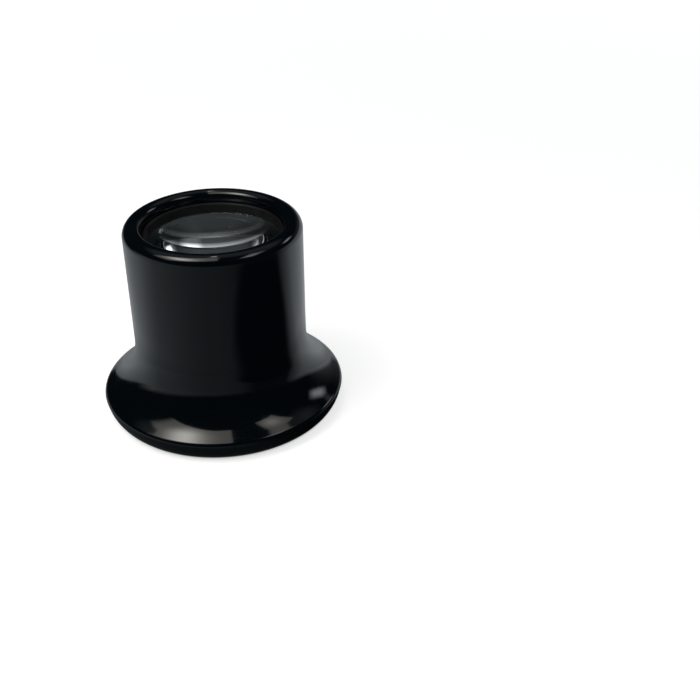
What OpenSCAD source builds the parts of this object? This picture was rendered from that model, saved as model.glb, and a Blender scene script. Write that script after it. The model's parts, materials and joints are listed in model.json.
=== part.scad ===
// Eye loupe: a moulded black eye cup that holds one magnifying lens behind a press-in ring.
// It stands on the eye cup's rim. Z runs up the optical axis, from the eye to the lens end.

/* [Housing] */
// Height from the rim of the eye cup to the face of the lens end
height = 29.1; // [27:0.1:33]
// Outside diameter of the straight barrel
barrel_d = 25.4; // [24.6:0.1:26.4]
// Wall of the barrel and of the flare
wall = 2; // [1.6:0.1:2.4]
// Rounding of the lens end's outer edge
end_edge_r = 1.5; // [1:0.1:1.8]
// Rounding of the mouth's edge, as far as the end wall has room for it
mouth_edge_r = 1.1; // [0.6:0.1:1.3]

/* [Eye cup] */
// Widest diameter of the rim, at the mould's parting line
rim_d = 36; // [35:0.1:39]
// Thickness of the rim
rim_wall = 2.5; // [2.1:0.1:3.2]
// Height of the parting line
parting_z = 2.5; // [2.1:0.1:2.9]
// Step in at the parting line, from the polished half of the mould to the satin one
parting_step = 0.1; // [0.05:0.01:0.2]
// Radius of the lip under the parting line
lip_r = 3.2; // [3:0.1:4]
// Rounding of the lip's inner edge
lip_edge_r = 0.4; // [0.2:0.1:0.5]
// Radius of the shoulder over the parting line
shoulder_r = 0.8; // [0.5:0.1:1.4]
// Radius of the hollow that flares the barrel out to the rim
hollow_r = 9; // [7.5:0.1:10.2]
// Slope of the flare at its foot, in degrees from level
flare_slope = 32; // [28.5:0.5:37]

/* [Lens] */
// Diameter of the lens
lens_d = 19.8; // [18.4:0.1:20]
// Thickness of the lens at its ground edge
lens_edge_t = 1.6; // [1.2:0.1:2.6]
// Radius of the front face, away from the eye
front_r = 21.5; // [18:0.5:60]
// Radius of the back face, towards the eye
back_r = 60; // [20:0.5:90]
// Bevel on the lens's two edges
lens_bevel = 0.2; // [0.1:0.05:0.3]

/* [Seat and ring] */
// How far the seat reaches in under the lens
seat_reach = 0.5; // [0.4:0.1:1.2]
// Thickness of the seat
seat_t = 1.2; // [0.8:0.1:1.6]
// Depth of the ring below the face of the lens end
ring_drop = 1.6; // [1.2:0.1:2]
// Height of the ring
ring_h = 1.45; // [1.2:0.05:1.8]
// Wall of the ring
ring_wall = 0.55; // [0.4:0.05:0.7]
// Chamfer on the ring's top edges
ring_chamfer = 0.12; // [0.05:0.01:0.15]
// Radius of the ring's snap bead
bead_r = 0.35; // [0.25:0.05:0.45]
// How far the snap bead stands out of the ring
bead_out = 0.15; // [0.1:0.01:0.2]

/* [Fits] */
// Clearance round the lens
lens_fit = 0.1; // [0.03:0.01:0.15]
// Clearance round the ring and its bead
ring_fit = 0.02; // [0.01:0.01:0.04]
// Gap between the glass and what it rests on
glass_gap = 0.02; // [0.01:0.01:0.04]

/* [Hidden] */
$fn = 180;
over = 1;
barrel_r = barrel_d / 2;
rim_r = rim_d / 2;
rim_bore_r = rim_r - rim_wall;
bore_r = barrel_r - wall;
lens_r = lens_d / 2;
pocket_r = lens_r + lens_fit;
seat_r = lens_r - seat_reach;
// Least flat that stays on the end wall between its two roundings
end_land = 0.05;
mouth_r = min(mouth_edge_r, barrel_r - end_edge_r - end_land - pocket_r);

// Rise of a spherical face of radius ball_r at the distance r from the axis
function sag(ball_r, r) = ball_r - sqrt(ball_r * ball_r - r * r);

// Between the hollow above it and the shoulder below it the flare is a straight cone, which faces
// along cone_out. It sinks a hair into both, so that their outlines cross it and don't only touch it.
blend_sink = 0.002;
cone_out = [sin(flare_slope), cos(flare_slope)];
cone_down = [cone_out.y, -cone_out.x];
shoulder_c = [rim_r - shoulder_r, parting_z];
hollow_over_shoulder = barrel_r + hollow_r - shoulder_c.x;
flare_top = parting_z
    + (hollow_r + shoulder_r - 2 * blend_sink - hollow_over_shoulder * cone_out.x) / cone_out.y;
hollow_c = [barrel_r + hollow_r, flare_top];
cone_foot = shoulder_c + (shoulder_r - blend_sink) * cone_out;
cone_head = hollow_c - (hollow_r - blend_sink) * cone_out;

// The inside of the flare runs one wall in from the outside, down to a straight land at the rim
inner_hollow_r = hollow_r + wall;
inner_cone_head = hollow_c - (inner_hollow_r - blend_sink) * cone_out;

// The ring sets the lens's height, and the lens sets the seat's
ring_out_r = pocket_r - ring_fit;
ring_in_r = ring_out_r - ring_wall;
ring_top = height - ring_drop;
ring_bottom = ring_top - ring_h;
bead_z = (ring_top + ring_bottom) / 2;
bead_c = [ring_out_r + bead_out - bead_r, bead_z];
front_pole = ring_bottom - glass_gap + sag(front_r, ring_in_r);
front_edge = front_pole - sag(front_r, lens_r);
back_edge = front_edge - lens_edge_t;
back_pole = back_edge - sag(back_r, lens_r);
seat_top = back_pole + sag(back_r, seat_r) - glass_gap;
seat_bottom = seat_top - seat_t;

// Half of the housing's outline, filled to the axis
module housing_outside() {
    square([barrel_r, height - end_edge_r]);
    square([barrel_r - end_edge_r, height]);
    translate([barrel_r - end_edge_r, height - end_edge_r]) circle(r = end_edge_r);
    flare_outside();
    lip_outside();
}

module flare_outside() {
    intersection() {
        translate(shoulder_c) circle(r = shoulder_r);
        translate([0, parting_z]) square([rim_r, shoulder_r]);
    }
    difference() {
        polygon([[0, parting_z], shoulder_c, cone_foot, cone_head, hollow_c, [barrel_r, flare_top],
                 [0, flare_top]]);
        translate(hollow_c) circle(r = hollow_r);
    }
}

module lip_outside() {
    lip_c = [rim_r - parting_step - lip_r, parting_z];
    square([lip_c.x, parting_z]);
    intersection() {
        translate(lip_c) circle(r = lip_r);
        square([rim_r, parting_z]);
    }
}

// Half of the room inside the eye cup and the barrel, up to the seat
module eye_side_room() {
    difference() {
        translate([0, -over]) square([rim_bore_r, flare_top + over]);
        translate(hollow_c) circle(r = inner_hollow_r);
        polygon([hollow_c, inner_cone_head, inner_cone_head + rim_r * cone_down,
                 hollow_c + rim_r * cone_down]);
    }
    translate([0, -over]) square([bore_r, seat_bottom + over]);
    difference() {
        translate([rim_bore_r - over, -over]) square([over + lip_edge_r, over + lip_edge_r]);
        translate([rim_bore_r + lip_edge_r, lip_edge_r]) circle(r = lip_edge_r);
    }
}

// Half of the pocket that takes the lens and the ring, with the snap groove and the mouth's round edge
module lens_side_room() {
    translate([0, seat_bottom - over]) square([seat_r, seat_t + 2 * over]);
    translate([0, seat_top]) square([pocket_r, height + over - seat_top]);
    translate(bead_c) circle(r = bead_r + ring_fit);
    difference() {
        translate([pocket_r - over, height - mouth_r]) square([mouth_r + over, mouth_r + over]);
        translate([pocket_r + mouth_r, height - mouth_r]) circle(r = mouth_r);
    }
}

module eyecup_housing() {
    color([0.03, 0.03, 0.035])
    rotate_extrude()
    difference() {
        housing_outside();
        eye_side_room();
        lens_side_room();
    }
}

// Two spherical faces on a ground cylinder whose edges are bevelled
module magnifier_lens() {
    front_flat = front_pole - sag(front_r, lens_r - lens_bevel);
    back_flat = back_pole + sag(back_r, lens_r - lens_bevel);
    color([0.85, 0.92, 0.95, 0.4])
    intersection() {
        translate([0, 0, front_pole - front_r]) sphere(r = front_r);
        translate([0, 0, back_pole + back_r]) sphere(r = back_r);
        rotate_extrude()
        polygon([[0, back_pole - over], [lens_r - lens_bevel, back_pole - over],
                 [lens_r - lens_bevel, back_flat], [lens_r, back_flat + lens_bevel],
                 [lens_r, front_flat - lens_bevel], [lens_r - lens_bevel, front_flat],
                 [lens_r - lens_bevel, front_pole + over], [0, front_pole + over]]);
    }
}

module lens_retaining_ring() {
    color([0.06, 0.06, 0.065])
    rotate_extrude()
    union() {
        polygon([[ring_in_r, ring_bottom], [ring_out_r, ring_bottom], [ring_out_r, ring_top - ring_chamfer],
                 [ring_out_r - ring_chamfer, ring_top], [ring_in_r + ring_chamfer, ring_top],
                 [ring_in_r, ring_top - ring_chamfer]]);
        intersection() {
            translate(bead_c) circle(r = bead_r);
            translate([ring_in_r + ring_wall / 2, ring_bottom]) square([ring_wall, ring_h]);
        }
    }
}

eyecup_housing();
magnifier_lens();
lens_retaining_ring();
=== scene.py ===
"""Looks of a moulded eye loupe over its CAD frame: plastics and glass, and a small studio."""

import json
from functools import reduce
from math import acos, atan2, cos, hypot, pi, radians, sin, sqrt, tan

import bpy
from mathutils import Matrix, Vector

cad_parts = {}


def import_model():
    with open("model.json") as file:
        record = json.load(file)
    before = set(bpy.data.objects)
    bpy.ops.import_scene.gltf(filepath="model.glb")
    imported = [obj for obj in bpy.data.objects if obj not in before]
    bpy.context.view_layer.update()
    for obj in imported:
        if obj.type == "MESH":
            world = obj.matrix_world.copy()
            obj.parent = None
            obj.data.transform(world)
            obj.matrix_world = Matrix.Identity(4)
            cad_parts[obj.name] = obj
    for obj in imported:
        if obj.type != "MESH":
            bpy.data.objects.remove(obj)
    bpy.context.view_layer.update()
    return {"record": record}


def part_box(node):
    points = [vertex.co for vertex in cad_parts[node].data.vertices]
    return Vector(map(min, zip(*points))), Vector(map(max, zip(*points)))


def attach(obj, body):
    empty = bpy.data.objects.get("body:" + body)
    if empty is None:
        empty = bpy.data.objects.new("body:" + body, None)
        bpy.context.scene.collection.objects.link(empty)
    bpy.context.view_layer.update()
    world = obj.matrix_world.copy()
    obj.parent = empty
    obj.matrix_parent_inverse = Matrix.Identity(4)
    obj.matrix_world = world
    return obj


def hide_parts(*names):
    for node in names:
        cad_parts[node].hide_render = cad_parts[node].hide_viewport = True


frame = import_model()

MM = 0.001
TINY = 1e-9

# Sizes that the frame gives
housing_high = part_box("eyecup_housing")[1]
lens_low, lens_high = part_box("magnifier_lens")
ring_low, ring_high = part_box("lens_retaining_ring")
mounts = {mount["name"]: mount for mount in frame["record"]["mounts"]}

HEIGHT = housing_high.z
RIM_R = housing_high.x
BARREL_R = mounts["barrel_grip"]["dims"]["r_mm"] * MM
LENS_R = lens_high.x

# Sizes of the moulding, as the CAD source has them
WALL = 2.0 * MM
END_EDGE_R = 1.5 * MM
MOUTH_EDGE_R = 1.1 * MM
RIM_WALL = 2.5 * MM
PARTING_Z = 2.5 * MM
PARTING_STEP = 0.1 * MM
LIP_R = 3.2 * MM
LIP_EDGE_R = 0.4 * MM
SHOULDER_R = 0.8 * MM
HOLLOW_R = 9.0 * MM
FLARE_SLOPE = radians(32)
LENS_FIT = 0.1 * MM
SEAT_REACH = 0.5 * MM
SEAT_T = 1.2 * MM
FRONT_FACE_R = 21.5 * MM
BACK_FACE_R = 60.0 * MM
LENS_BEVEL = 0.2 * MM
RING_WALL = 0.55 * MM
RING_CHAMFER = 0.12 * MM
RING_FIT = 0.02 * MM
GLASS_GAP = 0.02 * MM
BEAD_R = 0.35 * MM
BEAD_OUT = 0.15 * MM

# Roundings that the mould gives and the CAD leaves sharp
CONTACT_EDGE_R = 0.2 * MM
STEP_EDGE_R = 0.03 * MM
STEP_ROOT_R = STEP_EDGE_R * 0.7
SEAT_EDGE_R = 0.12 * MM
SEAT_ROOT_R = 0.3 * MM
LAND_ROOT_R = 0.5 * MM
RING_EDGE_R = 0.05 * MM

# Where the lip's round stops and the shoulder's starts, on either side of the parting line
LIP_END = radians(-1)
SHOULDER_START = radians(5)

POCKET_R = LENS_R + LENS_FIT
BORE_R = BARREL_R - WALL
SEAT_R = LENS_R - SEAT_REACH
LAND_R = RIM_R - RIM_WALL

# Parts of a full turn, of the flare's hollow and of a lens face
AROUND = 288
HOLLOW_PARTS = 48
FACE_PARTS = 72


def polar(centre, radius, angle):
    """The point at that angle on a circle, as (r, z)."""
    return centre[0] + radius * cos(angle), centre[1] + radius * sin(angle)


class Outline:
    """The outline of a turned piece, as (r, z) points, with the solid on the left of its way."""

    def __init__(self, r, z, finish=0):
        self.points = [(r, z)]
        self.steps = []
        self.finish = finish

    def _to(self, point, start_normal, end_normal):
        self.points.append(point)
        self.steps.append((start_normal, end_normal, self.finish))

    def line(self, r, z, parts=1):
        r0, z0 = self.points[-1]
        length = hypot(r - r0, z - z0)
        normal = ((z - z0) / length, (r0 - r) / length)
        for i in range(1, parts + 1):
            self._to((r0 + (r - r0) * i / parts, z0 + (z - z0) * i / parts), normal, normal)

    def arc(self, centre, end, parts):
        """Runs round centre from the last point to the angle end, the short way."""
        r0, z0 = self.points[-1]
        radius = hypot(r0 - centre[0], z0 - centre[1])
        start = atan2(z0 - centre[1], r0 - centre[0])
        sweep = (end - start + pi) % (2 * pi) - pi
        out = 1 if sweep > 0 else -1
        for i in range(1, parts + 1):
            a, b = start + sweep * (i - 1) / parts, start + sweep * i / parts
            start_normal, end_normal = (out * cos(a), out * sin(a)), (out * cos(b), out * sin(b))
            self._to(polar(centre, radius, b), start_normal, end_normal)

    def bend(self, corner, towards, radius, parts=5):
        """Runs to the corner and turns there towards the next point, in an arc of that radius."""
        r0, z0 = self.points[-1]
        way_in = Vector((corner[0] - r0, corner[1] - z0)).normalized()
        way_out = Vector((towards[0] - corner[0], towards[1] - corner[1])).normalized()
        turn = way_in.angle_signed(way_out)
        back = radius * tan(abs(turn) / 2)
        start = Vector(corner) - way_in * back
        side = -1 if turn > 0 else 1
        centre = start + Vector((-way_in.y, way_in.x)) * side * radius
        end = Vector(corner) + way_out * back
        self.line(start.x, start.y)
        self.arc((centre.x, centre.y), atan2(end.y - centre.y, end.x - centre.x), parts)


def turned(name, outline, materials, around=AROUND):
    """Turns an outline about Z into a closed mesh that is shaded by the outline's true normals."""
    points = outline.points
    closed = hypot(points[0][0] - points[-1][0], points[0][1] - points[-1][1]) < TINY
    if closed:
        points = points[:-1]
    turns = [(cos(2 * pi * k / around), sin(2 * pi * k / around)) for k in range(around)]
    coords = []
    rows = []
    for r, z in points:
        if r < TINY:
            rows.append([len(coords)] * around)
            coords.append((0, 0, z))
        else:
            rows.append(range(len(coords), len(coords) + around))
            coords += [(r * c, r * s, z) for c, s in turns]
    faces = []
    normals = []
    finishes = []
    for i, (start_normal, end_normal, finish) in enumerate(outline.steps):
        low, high = rows[i], rows[(i + 1) % len(rows)]
        for k in range(around):
            n = (k + 1) % around
            corners = [(low[k], start_normal, k), (low[n], start_normal, n),
                       (high[n], end_normal, n), (high[k], end_normal, k)]
            if low[k] == low[n]:
                corners.pop(1)
            elif high[k] == high[n]:
                corners.pop(2)
            faces.append([corner[0] for corner in corners])
            normals += [(nr * turns[t][0], nr * turns[t][1], nz) for _, (nr, nz), t in corners]
            finishes.append(finish)
    mesh = bpy.data.meshes.new(name)
    mesh.from_pydata(coords, [], faces)
    mesh.polygons.foreach_set("use_smooth", [True] * len(faces))
    mesh.polygons.foreach_set("material_index", finishes)
    mesh.normals_split_custom_set(normals)
    for material in materials:
        mesh.materials.append(material)
    mesh.validate()
    piece = bpy.data.objects.new(name, mesh)
    bpy.context.scene.collection.objects.link(piece)
    return piece


# Outlines

POLISHED, SATIN, LIP_SATIN = 0, 1, 2


def sag(face_r, r):
    """How far a lens face falls away from its pole at the distance r from the axis."""
    return face_r - sqrt(face_r ** 2 - r ** 2)


def flare_hollow():
    """Centre of the hollow that flares the barrel out, and the way that the cone below it faces."""
    facing = (sin(FLARE_SLOPE), cos(FLARE_SLOPE))
    centre_r = BARREL_R + HOLLOW_R
    over_shoulder = centre_r - (RIM_R - SHOULDER_R)
    rise = (HOLLOW_R + SHOULDER_R - over_shoulder * facing[0]) / facing[1]
    return (centre_r, PARTING_Z + rise), facing


def lip(outline):
    """From the flat ring that the loupe stands on, out and up to just under the parting line."""
    centre = (RIM_R - PARTING_STEP - LIP_R, PARTING_Z)
    reach = LIP_R - CONTACT_EDGE_R
    edge_r = centre[0] + sqrt(reach ** 2 - (PARTING_Z - CONTACT_EDGE_R) ** 2)
    edge = (edge_r, CONTACT_EDGE_R)
    meet = atan2(edge[1] - centre[1], edge[0] - centre[0])
    outline.line(edge_r, 0, parts=2)
    outline.arc(edge, meet, parts=6)
    outline.arc(centre, LIP_END, parts=24)


def parting_line(outline):
    """The step out from the satin half of the mould to the polished one."""
    inside = (RIM_R - PARTING_STEP, PARTING_Z)
    outside = (RIM_R, PARTING_Z)
    outline.bend(inside, outside, STEP_ROOT_R, parts=3)
    outline.finish = POLISHED
    outline.bend(outside, (RIM_R, PARTING_Z + SHOULDER_R), STEP_EDGE_R, parts=4)


def housing_outside(outline):
    """Up the shoulder, the flare and the barrel, and over the lens end into the pocket's mouth."""
    hollow, facing = flare_hollow()
    cone = atan2(facing[1], facing[0])
    shoulder = (RIM_R - SHOULDER_R, PARTING_Z)
    outline.line(*polar(shoulder, SHOULDER_R, SHOULDER_START))
    outline.arc(shoulder, cone, parts=14)
    outline.line(*polar(hollow, HOLLOW_R, cone + pi), parts=2)
    outline.arc(hollow, pi, HOLLOW_PARTS)
    outline.line(BARREL_R, HEIGHT - END_EDGE_R, parts=8)
    outline.arc((BARREL_R - END_EDGE_R, HEIGHT - END_EDGE_R), pi / 2, parts=20)
    outline.line(POCKET_R + MOUTH_EDGE_R, HEIGHT)
    outline.arc((POCKET_R + MOUTH_EDGE_R, HEIGHT - MOUTH_EDGE_R), pi, parts=14)


def pocket_and_seat(outline):
    """Down the pocket, round the ring's snap groove and over the lens seat, to the bore."""
    groove = (POCKET_R - RING_FIT + BEAD_OUT - BEAD_R, (ring_low.z + ring_high.z) / 2)
    groove_r = BEAD_R + RING_FIT
    groove_half = sqrt(groove_r ** 2 - (POCKET_R - groove[0]) ** 2)
    seat_top = lens_low.z + sag(BACK_FACE_R, SEAT_R) - GLASS_GAP
    seat_bottom = seat_top - SEAT_T
    outline.line(POCKET_R, groove[1] + groove_half, parts=3)
    outline.finish = SATIN
    outline.arc(groove, atan2(-groove_half, POCKET_R - groove[0]), parts=12)
    outline.bend((POCKET_R, seat_top), (SEAT_R, seat_top), SEAT_EDGE_R)
    outline.bend((SEAT_R, seat_top), (SEAT_R, seat_bottom), SEAT_EDGE_R)
    outline.bend((SEAT_R, seat_bottom), (BORE_R, seat_bottom), SEAT_EDGE_R)
    outline.bend((BORE_R, seat_bottom), (BORE_R, 0), SEAT_ROOT_R)


def cup_inside(outline):
    """Down the bore and along the flare, one wall in from its outside, to the land at the rim."""
    hollow, _ = flare_hollow()
    inner_r = HOLLOW_R + WALL
    root_r = LAND_R - LAND_ROOT_R
    root_z = hollow[1] - sqrt((inner_r + LAND_ROOT_R) ** 2 - (hollow[0] - root_r) ** 2)
    outline.line(BORE_R, hollow[1], parts=6)
    outline.arc(hollow, atan2(root_z - hollow[1], root_r - hollow[0]), HOLLOW_PARTS)
    outline.arc((root_r, root_z), 0, parts=5)
    outline.line(LAND_R, LIP_EDGE_R, parts=2)


def housing_outline():
    """Once round the moulding, from the flat ring that it stands on and back to it."""
    lip_edge = (LAND_R + LIP_EDGE_R, LIP_EDGE_R)
    on_flat_ring = lip_edge[0] + 0.3 * MM
    outline = Outline(on_flat_ring, 0, LIP_SATIN)
    lip(outline)
    parting_line(outline)
    housing_outside(outline)
    pocket_and_seat(outline)
    cup_inside(outline)
    outline.finish = LIP_SATIN
    outline.arc(lip_edge, -pi / 2, parts=8)
    outline.line(*outline.points[0])
    return outline


CLEAR, GROUND = 0, 1


def lens_outline():
    """From the pole of the back face over the ground and bevelled edge to the front face's pole."""
    back_pole, front_pole = lens_low.z, lens_high.z
    shelf = LENS_R - LENS_BEVEL
    back = back_pole + sag(BACK_FACE_R, shelf)
    front = front_pole - sag(FRONT_FACE_R, shelf)
    outline = Outline(0, back_pole, CLEAR)
    outline.arc((0, back_pole + BACK_FACE_R), -acos(shelf / BACK_FACE_R), FACE_PARTS)
    outline.finish = GROUND
    outline.line(LENS_R, back + LENS_BEVEL)
    outline.line(LENS_R, front - LENS_BEVEL, parts=4)
    outline.line(shelf, front)
    outline.finish = CLEAR
    outline.arc((0, front_pole - FRONT_FACE_R), pi / 2, FACE_PARTS)
    return outline


def ring_outline():
    """Once round the ring's section: out, up over the snap bead, over the top and down inside."""
    out_r = POCKET_R - RING_FIT
    in_r = out_r - RING_WALL
    low, high = ring_low.z, ring_high.z
    bead = (out_r + BEAD_OUT - BEAD_R, (low + high) / 2)
    bead_half = sqrt(BEAD_R ** 2 - (out_r - bead[0]) ** 2)
    outline = Outline((in_r + out_r) / 2, low)
    outline.bend((out_r, low), (out_r, high), RING_EDGE_R, parts=3)
    outline.line(out_r, bead[1] - bead_half)
    outline.arc(bead, atan2(bead_half, out_r - bead[0]), parts=8)
    over_top = [(out_r, high - RING_CHAMFER), (out_r - RING_CHAMFER, high),
                (in_r + RING_CHAMFER, high), (in_r, high - RING_CHAMFER), (in_r, low)]
    for corner, towards in zip(over_top, over_top[1:]):
        outline.bend(corner, towards, RING_EDGE_R / 2, parts=2)
    outline.bend((in_r, low), (out_r, low), RING_EDGE_R, parts=3)
    outline.line(*outline.points[0])
    return outline


# Materials

PLASTIC_IOR = 1.49
GLASS_IOR = 1.52


class Graph:
    """A short way to build a node tree."""

    def __init__(self, tree):
        self.tree = tree
        self.place = None

    def feed(self, node, inputs):
        """Sets each input of the node to its number or colour, or links it to its socket."""
        for name, value in inputs.items():
            socket = node.inputs[name]
            if isinstance(value, bpy.types.NodeSocket):
                self.tree.links.new(value, socket)
            else:
                socket.default_value = value
        return node

    def add(self, kind, inputs=None, **settings):
        node = self.tree.nodes.new(kind)
        for name, value in settings.items():
            setattr(node, name, value)
        return self.feed(node, inputs or {})

    def math(self, operation, a, b=0.0):
        return self.add("ShaderNodeMath", {0: a, 1: b}, operation=operation).outputs[0]

    def plus(self, *values):
        return reduce(lambda a, b: self.math("ADD", a, b), values)

    def times(self, *values):
        return reduce(lambda a, b: self.math("MULTIPLY", a, b), values)

    def most(self, a, b):
        return self.math("MAXIMUM", a, b)

    def rest_of(self, share):
        """What the share leaves of 1."""
        return self.math("SUBTRACT", 1.0, share)

    def square_sum(self, u, v):
        return self.plus(self.times(u, u), self.times(v, v))

    def fit(self, value, low, high, to_low, to_high):
        """Takes low..high to to_low..to_high, and stays level outside them."""
        node = self.add("ShaderNodeMapRange", {"Value": value, "From Min": low, "From Max": high,
                                               "To Min": to_low, "To Max": to_high})
        return node.outputs["Result"]

    def band(self, value, low, high, soft):
        """1 from low to high, falling to 0 over the soft width on each side of them."""
        return self.times(self.fit(value, low - soft, low, 0.0, 1.0),
                          self.fit(value, high, high + soft, 1.0, 0.0))

    def position(self):
        """Place on the object in millimetres."""
        if self.place is None:
            where = self.add("ShaderNodeTexCoord").outputs["Object"]
            scale = (1 / MM,) * 3
            self.place = self.add("ShaderNodeMapping", {"Vector": where, "Scale": scale}).outputs[0]
        return self.place

    def split(self, vector):
        return self.add("ShaderNodeSeparateXYZ", {"Vector": vector}).outputs

    def noise(self, size_mm, detail=2.0, where=None, distortion=0.0):
        """Noise whose blotches are about size_mm across."""
        inputs = {"Vector": where or self.position(), "Scale": 1 / size_mm, "Detail": detail,
                  "Distortion": distortion}
        return self.add("ShaderNodeTexNoise", inputs).outputs[0]

    def mix_colour(self, share, a, b):
        return self.add("ShaderNodeMix", {0: share, 6: a, 7: b}, data_type="RGBA").outputs[2]

    def mix_shader(self, share, a, b):
        return self.add("ShaderNodeMixShader", {0: share, 1: a, 2: b}).outputs[0]

    def bump(self, height, depth_mm, under=None):
        inputs = {"Height": height, "Distance": depth_mm * MM}
        if under:
            inputs["Normal"] = under
        return self.add("ShaderNodeBump", inputs).outputs["Normal"]


def new_material(name):
    material = bpy.data.materials.new(name)
    material.use_nodes = True
    graph = Graph(material.node_tree)
    return material, graph, material.node_tree.nodes["Principled BSDF"]


def empty_graph(block):
    """The cleared node graph of a material or a world."""
    block.use_nodes = True
    block.node_tree.nodes.clear()
    return Graph(block.node_tree)


def specks(graph, spacing_mm, size_mm, share):
    """1 on round specks of about that size, in that share of the cells of a loose grid."""
    size = size_mm / spacing_mm
    cells = graph.add("ShaderNodeTexVoronoi", {"Vector": graph.position(), "Scale": 1 / spacing_mm})
    near = graph.fit(cells.outputs["Distance"], size * 0.4, size * 0.6, 1, 0)
    pick = graph.add("ShaderNodeSeparateColor", {"Color": cells.outputs["Color"]})
    return graph.times(near, graph.math("LESS_THAN", pick.outputs[0], share))


def hairlines(graph, direction, spacing_mm):
    """Sparse fine scratches that run roughly along one direction."""
    stretch = tuple(0.02 if along else 1.0 for along in direction)
    where = graph.add("ShaderNodeMapping", {"Vector": graph.position(), "Scale": stretch,
                                            "Rotation": (0.3, 0.5, 0.2)}).outputs[0]
    lines = graph.noise(spacing_mm, 1.0, where, 0.3)
    off_middle = graph.math("ABSOLUTE", graph.math("SUBTRACT", lines, 0.5))
    return graph.fit(off_middle, 0.0, 0.006, 1, 0)


def polished_plastic():
    """Black plastic off a polished mould: deep gloss, faint sink waves, hairlines and dust."""
    material, graph, shader = new_material("polished_black_plastic")
    clouds = graph.noise(6.0, 3.0)
    smudges = graph.fit(graph.noise(3.2, 4.0, distortion=0.8), 0.52, 0.72, 0, 1)
    scratches = graph.most(hairlines(graph, (0, 0, 1), 0.7), hairlines(graph, (1, 0, 0), 0.9))
    worn = graph.times(scratches, graph.fit(graph.noise(4.5), 0.5, 0.65, 0, 1))
    dust = specks(graph, 1.3, 0.09, 0.10)
    pits = specks(graph, 0.55, 0.10, 0.30)

    black = graph.mix_colour(clouds, (0.0008, 0.0022, 0.0036, 1), (0.0015, 0.0036, 0.0056, 1))
    rough = graph.plus(0.075, graph.times(smudges, 0.05), graph.times(worn, 0.03),
                       graph.times(pits, 0.12), graph.times(dust, 0.5))
    waves = graph.bump(graph.noise(5.0, 1.0), 0.020)
    peel = graph.bump(graph.noise(0.8, 2.0), 0.0012, waves)
    sunk = graph.plus(graph.times(worn, 0.2), graph.times(pits, 0.6))
    scored = graph.bump(graph.math("SUBTRACT", dust, sunk), 0.004, peel)
    graph.feed(shader, {"Base Color": graph.mix_colour(dust, black, (0.16, 0.16, 0.15, 1)),
                        "IOR": PLASTIC_IOR, "Roughness": rough, "Normal": scored})
    return material


def satin_plastic(name, black, roughness, grain_mm, shine=0.5):
    """Black plastic off a spark-eroded mould: an even fine grain that takes the shine off."""
    material, graph, shader = new_material(name)
    clouds = graph.noise(4.0, 3.0)
    grain = graph.noise(grain_mm, 3.0)
    pits = graph.fit(graph.noise(grain_mm * 2.6, 2.0), 0.35, 0.65, 0, 1)
    dust = specks(graph, 1.1, 0.08, 0.08)
    lighter = tuple(c * 1.7 for c in black)
    tone = graph.mix_colour(clouds, black + (1,), lighter + (1,))
    rough = graph.plus(roughness, graph.times(graph.math("SUBTRACT", clouds, 0.5), 0.12))
    coarse = graph.bump(pits, 0.004)
    graph.feed(shader, {"Base Color": graph.mix_colour(dust, tone, (0.14, 0.14, 0.13, 1)),
                        "IOR": PLASTIC_IOR, "Specular IOR Level": shine, "Roughness": rough,
                        "Normal": graph.bump(grain, 0.006, coarse)})
    return material


def let_light_through(graph, shader, tint):
    """Lets lamp light and soft light pass straight on through glass, to what stands behind it."""
    light = graph.add("ShaderNodeLightPath").outputs
    soft = graph.most(light["Is Shadow Ray"], light["Is Diffuse Ray"])
    clear = graph.add("ShaderNodeBsdfTransparent", {"Color": tint}).outputs[0]
    mixed = graph.mix_shader(soft, shader.outputs[0], clear)
    graph.tree.links.new(mixed, graph.tree.nodes["Material Output"].inputs["Surface"])


def lens_glass():
    """Clear polished glass with the faint film that handling leaves."""
    material, graph, shader = new_material("clear_lens_glass")
    film = graph.fit(graph.noise(2.6, 4.0, distortion=0.6), 0.5, 0.75, 0, 1)
    dust = specks(graph, 1.7, 0.07, 0.06)
    tint = graph.mix_colour(film, (0.955, 0.988, 0.985, 1), (0.935, 0.972, 0.972, 1))
    graph.feed(shader, {"Base Color": graph.mix_colour(dust, tint, (0.6, 0.6, 0.58, 1)),
                        "IOR": GLASS_IOR, "Transmission Weight": 1.0,
                        "Roughness": graph.plus(graph.times(film, 0.012), graph.times(dust, 0.4))})
    let_light_through(graph, shader, (0.88, 0.92, 0.91, 1))
    return material


def ground_glass():
    """The lens's ground edge: frosted, with the fine grain of the wheel."""
    material, graph, shader = new_material("ground_glass_edge")
    grain = graph.noise(0.12, 3.0)
    tone = graph.mix_colour(grain, (0.80, 0.84, 0.84, 1), (0.90, 0.93, 0.92, 1))
    graph.feed(shader, {"Base Color": tone, "IOR": GLASS_IOR, "Transmission Weight": 1.0,
                        "Roughness": graph.fit(grain, 0.3, 0.7, 0.42, 0.6),
                        "Normal": graph.bump(grain, 0.006)})
    let_light_through(graph, shader, (0.55, 0.60, 0.60, 1))
    return material


# Pieces

polished = polished_plastic()
# The inside's satin is painted lighter than the lip of the same moulding. It stands in for light
# that reaches the cup's inside.
satin = satin_plastic("satin_black_plastic_painted_lighter", (0.0185, 0.0245, 0.0265), 0.42, 0.16)
lip_satin = satin_plastic("lip_black_plastic", (0.0012, 0.0024, 0.0032), 0.32, 0.16)
ring_satin = satin_plastic("ring_black_plastic", (0.0060, 0.0064, 0.0068), 0.45, 0.12, shine=0.2)

housing = turned("eyecup_moulding", housing_outline(), [polished, satin, lip_satin])
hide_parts("eyecup_housing")

lens = turned("biconvex_magnifier", lens_outline(), [lens_glass(), ground_glass()])
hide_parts("magnifier_lens")

ring = turned("press_in_ring", ring_outline(), [ring_satin])
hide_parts("lens_retaining_ring")

for piece in (housing, lens, ring):
    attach(piece, "root")


# Studio. Its places and sizes are in millimetres, and its glows are strengths of emission.

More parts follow.
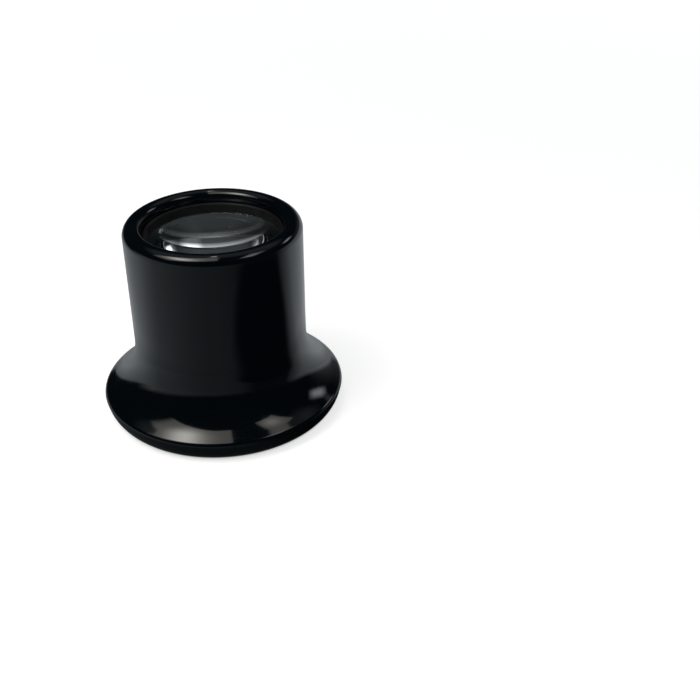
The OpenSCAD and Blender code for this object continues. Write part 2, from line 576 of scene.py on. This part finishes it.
FLOOR_SIZE = 6000
FLOOR_DROP = 0.02
FACING_DOWN = (pi, 0, 0)
WARM_LIGHT = (1.0, 0.965, 0.90, 1)
LAMP_LIGHT = (1.0, 0.98, 0.95, 1)
FLOOR_LIGHT = (0.90, 0.97, 1.0, 1)
ROOM_LIGHT = (0.93, 0.98, 1.0, 1)
WHITE = (1, 1, 1, 1)

# What the gloss mirrors of the low surroundings, by direction
NEAR_LEFT_GLOW = 0.22
FRONT_RIGHT_GLOW = 0.02
FRONT_GLOW = 0.13
FRONT_LEFT_EXTRA = 0.05
BACK_RIGHT_GLOW = 0.62
BACK_LEFT_GLOW = 0.20

# What it mirrors higher up in the room
WINDOW_GLOW = 2.6
CEILING_GLOW = 0.2
HAZE_GLOW = 0.2
DARKEST_GLOW = 0.006

# How bright the world is for what soft light falls on
AMBIENT_GLOW = 0.35

# Painted glow of the paper under the cup, standing in for light that the lens lets onto it; it
# shows through the lens and lights the cup's inside
UNDER_CUP_PAINTED_GLOW = 0.8

# Oval on the floor with a painted dark patch in the gloss, in place of the second loupe that lay
# there
DARK_OVAL_AT = (38, -32)
DARK_OVAL_SIZE = (30, 27)


def sheet(name, width, depth, centre, turn=(0, 0, 0)):
    """A flat rectangle of the studio that faces along its own +Z."""
    x, y = width * MM / 2, depth * MM / 2
    mesh = bpy.data.meshes.new(name)
    mesh.from_pydata([(-x, -y, 0), (x, -y, 0), (x, y, 0), (-x, y, 0)], [], [(0, 1, 2, 3)])
    flat = bpy.data.objects.new(name, mesh)
    flat.location = Vector(centre) * MM
    flat.rotation_euler = turn
    bpy.context.scene.collection.objects.link(flat)
    return flat


def up(angle):
    """How high a direction points, from -1 to 1, when it is that many degrees over level."""
    return sin(radians(angle))


def level_bearing(graph, x, y):
    """How far left and how far back a direction points on the level, each from -1 to 1."""
    level = graph.most(graph.math("SQRT", graph.square_sum(x, y)), 1e-4)
    return graph.math("DIVIDE", graph.times(x, -1.0), level), graph.math("DIVIDE", y, level)


def room_glow(graph, left, back):
    """How bright the low surroundings are in each level direction, as the gloss shows them."""
    leftness = graph.fit(left, 0.1, 1.0, 0.0, 1.0)
    near_left = graph.times(graph.math("POWER", leftness, 2.0), NEAR_LEFT_GLOW)
    front = graph.plus(graph.fit(left, -0.58, -0.30, FRONT_RIGHT_GLOW, FRONT_GLOW),
                       graph.fit(left, -0.30, 0.10, 0.0, FRONT_LEFT_EXTRA))
    behind = graph.times(graph.fit(back, -0.25, 0.20, 0.0, 1.0),
                         graph.fit(left, -0.9, 0.3, BACK_RIGHT_GLOW, BACK_LEFT_GLOW))
    return graph.plus(front, near_left, behind)


def open_end(graph, left, back):
    """1 towards the far left, where the paper ends near by, and 0 the other ways."""
    return graph.times(graph.fit(back, 0.05, 0.45, 0.0, 1.0), graph.fit(left, -0.1, 0.2, 0.0, 1.0))


def offset(graph, x, y, centre, size):
    """How far a place is off the centre, each way as a share of the size."""
    return [graph.math("DIVIDE", graph.math("SUBTRACT", place, middle), reach)
            for place, middle, reach in zip((x, y), centre, size)]


def painted_dark_oval(graph, x, y):
    """Almost 0 in the soft-edged oval of a painted dark patch on the floor, and 1 outside it."""
    off_centre = offset(graph, x, y, DARK_OVAL_AT, DARK_OVAL_SIZE)
    span = graph.math("SQRT", graph.square_sum(*off_centre))
    return graph.fit(span, 0.85, 1.1, 0.04, 1.0)


def floor_material():
    """Pale paper: white with the object's shadow to the eye, as dim as the room to the gloss; it
    has a painted glow under the cup.
    """
    material = bpy.data.materials.new("pale_paper")
    graph = empty_graph(material)
    rim = RIM_R / MM
    light = graph.add("ShaderNodeLightPath").outputs
    place = graph.position()
    x, y, _ = graph.split(place)
    span = graph.add("ShaderNodeVectorMath", {0: place}, operation="LENGTH").outputs["Value"]
    uncovered = graph.fit(span, rim - 2.0, rim - 1.0, 0.0, 1.0)
    covered = graph.rest_of(uncovered)

    # What the camera and the glass see: lit paper, with a glow on top that lifts it to white
    fibres = graph.noise(0.5, 4.0)
    colour = graph.mix_colour(fibres, (0.70, 0.70, 0.70, 1), (0.73, 0.73, 0.73, 1))
    paper = graph.add("ShaderNodeBsdfDiffuse", {"Color": colour}).outputs[0]
    seen = graph.most(light["Is Camera Ray"], light["Is Transmission Ray"])
    lift = graph.times(seen, uncovered, graph.fit(span, 120.0, 700.0, 0.66, 1.0))
    lifted = graph.add("ShaderNodeEmission", {"Color": WHITE, "Strength": lift}).outputs[0]
    shown = graph.add("ShaderNodeAddShader", {0: paper, 1: lifted}).outputs[0]

    # What the gloss sees: the low surroundings, with painted shadow that darkens them close to the
    # loupe and a painted dark oval.
    # Under the cup all rays see a painted glow, and not only the gloss.
    left, back = level_bearing(graph, x, y)
    ends = graph.times(open_end(graph, left, back), graph.fit(span, 110.0, 300.0, 0.0, 0.95))
    # Painted shadow: the last factor darkens the glow near the rim, as the loupe's contact shadow
    # in the gloss.
    glow = graph.times(room_glow(graph, left, back), painted_dark_oval(graph, x, y),
                       graph.rest_of(ends), graph.fit(span, rim, rim + 14.0, 0.25, 1.0))
    # Under the cup the paper has a painted glow, for every ray and not only the gloss.
    glow = graph.plus(graph.times(glow, uncovered), graph.times(covered, UNDER_CUP_PAINTED_GLOW))
    dim = graph.add("ShaderNodeEmission", {"Color": FLOOR_LIGHT, "Strength": glow}).outputs[0]
    both = graph.mix_shader(graph.most(light["Is Glossy Ray"], covered), shown, dim)

    from_below = graph.add("ShaderNodeNewGeometry").outputs["Backfacing"]
    clear = graph.add("ShaderNodeBsdfTransparent").outputs[0]
    graph.add("ShaderNodeOutputMaterial", {"Surface": graph.mix_shader(from_below, both, clear)})
    return material


def lamp_material(name, colour, strength_on):
    """A glow of that colour. strength_on builds its strength in the material's graph."""
    material = bpy.data.materials.new(name)
    graph = empty_graph(material)
    glow = graph.add("ShaderNodeEmission", {"Color": colour, "Strength": strength_on(graph)})
    graph.add("ShaderNodeOutputMaterial", {"Surface": glow.outputs[0]})
    return material


def softbox(name, width, depth, centre, edge_glow, core_glow, core_at, core_size, fade):
    """A diffuser panel, brighter where its lamp sits and dimmer over the fade at its -X end."""
    def strength(graph):
        x, y, _ = graph.split(graph.position())
        off_core = graph.square_sum(*offset(graph, x, y, core_at, core_size))
        fall = graph.math("EXPONENT", graph.times(off_core, -1.0))
        glow = graph.plus(edge_glow, graph.times(fall, core_glow - edge_glow))
        from_behind = graph.add("ShaderNodeNewGeometry").outputs["Backfacing"]
        return graph.times(glow, graph.fit(x, -width / 2, -width / 2 + fade, 0.0, 1.0),
                           graph.rest_of(from_behind))

    panel = sheet(name, width, depth, centre, FACING_DOWN)
    panel.data.materials.append(lamp_material(name + "_diffuser", WARM_LIGHT, strength))
    panel.visible_camera = False


def lamp_disc(name, radius, centre, glow, around=32):
    """A small bare lamp. The glass leaves it out, because there it only gives stray specks."""
    edge = [polar((0, 0), radius * MM, 2 * pi * k / around) for k in range(around)]
    mesh = bpy.data.meshes.new(name)
    mesh.from_pydata([(x, y, 0) for x, y in edge], [], [list(range(around))])
    disc = bpy.data.objects.new(name, mesh)
    disc.location = Vector(centre) * MM
    bpy.context.scene.collection.objects.link(disc)
    disc.data.materials.append(lamp_material(name + "_bulb", LAMP_LIGHT, lambda graph: glow))
    disc.visible_camera = False
    disc.visible_transmission = False


def glow_in_glass(graph, x, z):
    """How much of the room's glow total reflection in the lens shows, by the way that it points."""
    low = graph.times(graph.fit(z, up(8), up(21), 1.4, 0.08),
                      graph.fit(x, 0.12, 0.20, 1.0, 3.2),
                      graph.fit(x, 0.30, 0.42, 1.0, 0.1),
                      graph.fit(x, -0.7, -0.2, 0.4, 1.0))
    high = graph.times(graph.band(z, up(33), up(38), 0.06), 0.65)
    return graph.most(low, high)


def mirrored_room(graph, way, through):
    """How bright the gloss, and total reflection in the glass, show the room in each direction."""
    x, y, z = graph.split(way)
    left, back = level_bearing(graph, x, y)
    horizon = graph.fit(back, -0.3, 0.3, up(3.5), up(0.5))
    low = graph.times(graph.fit(graph.math("SUBTRACT", z, horizon), 0.0, up(5), 1.0, 0.0),
                      graph.rest_of(open_end(graph, left, back)))
    low = graph.most(low, graph.times(glow_in_glass(graph, x, z), through))
    bearing = graph.math("ARCTAN2", y, x)
    window = graph.times(graph.band(bearing, radians(20), radians(28), 0.14),
                         graph.band(z, up(27), up(30), 0.08), WINDOW_GLOW)
    ceiling = graph.times(graph.fit(z, up(40), up(50), 0.0, CEILING_GLOW),
                          graph.fit(y, -0.1, 0.2, 0.0, 1.0))
    haze = graph.times(graph.fit(left, -0.25, -0.55, 0.0, HAZE_GLOW),
                       graph.fit(z, 0.0, up(25), 1.0, 0.0), graph.fit(back, 0.3, 0.7, 0.0, 1.0))
    surroundings = graph.times(room_glow(graph, left, back), low)
    return graph.plus(surroundings, DARKEST_GLOW, window, ceiling, haze)


def world():
    """White for the camera and straight through the glass, and a dim room for what is mirrored."""
    studio = bpy.data.worlds.new("studio")
    graph = empty_graph(studio)
    light = graph.add("ShaderNodeLightPath").outputs
    way = graph.add("ShaderNodeTexCoord").outputs["Generated"]
    through = light["Is Transmission Ray"]
    turned_back = graph.math("GREATER_THAN", light["Glossy Depth"], 0.5)
    mirrored = graph.most(light["Is Glossy Ray"], graph.times(through, turned_back))
    seen = graph.most(light["Is Camera Ray"], graph.times(through, graph.rest_of(turned_back)))
    strength = graph.plus(graph.times(mirrored_room(graph, way, through), mirrored),
                          graph.times(AMBIENT_GLOW, light["Is Diffuse Ray"]), seen)
    colour = graph.mix_colour(seen, ROOM_LIGHT, WHITE)
    sky = graph.add("ShaderNodeBackground", {"Color": colour, "Strength": strength})
    graph.add("ShaderNodeOutputWorld", {"Surface": sky.outputs[0]})
    bpy.context.scene.world = studio


def camera():
    """The photograph's pinhole, fitted to the loupe's outline."""
    focal_px = 1023.1
    picture_px = 700
    place_mm = (0, -133.6, 88.3)
    yaw, pitch, roll = radians(8.30), radians(-31.41), radians(0.16)
    data = bpy.data.cameras.new("camera")
    data.sensor_width = 36
    data.lens = focal_px / picture_px * data.sensor_width
    data.clip_start = 0.01
    data.clip_end = 20
    view = bpy.data.objects.new("camera", data)
    turn = (Matrix.Rotation(-yaw, 3, "Z") @ Matrix.Rotation(pi / 2 + pitch, 3, "X")
            @ Matrix.Rotation(-roll, 3, "Z"))
    view.rotation_euler = turn.to_euler()
    view.location = Vector(place_mm) * MM
    bpy.context.scene.collection.objects.link(view)
    bpy.context.scene.camera = view


floor = sheet("paper_floor", FLOOR_SIZE, FLOOR_SIZE, (0, 0, -FLOOR_DROP))
floor.data.materials.append(floor_material())
softbox("softbox_left", 210, 102, centre=(-100, -37, 180), edge_glow=1.4, core_glow=9.6,
        core_at=(18, -5), core_size=(35, 38), fade=40)
softbox("softbox_right", 68, 90, centre=(104, -55, 180), edge_glow=0.95, core_glow=2.9,
        core_at=(-1, 8), core_size=(24, 32), fade=5)
lamp_disc("small_lamp", 4.0, centre=(-1, 57, 180), glow=25.0)
world()
camera()
bpy.context.scene.view_settings.view_transform = "Standard"
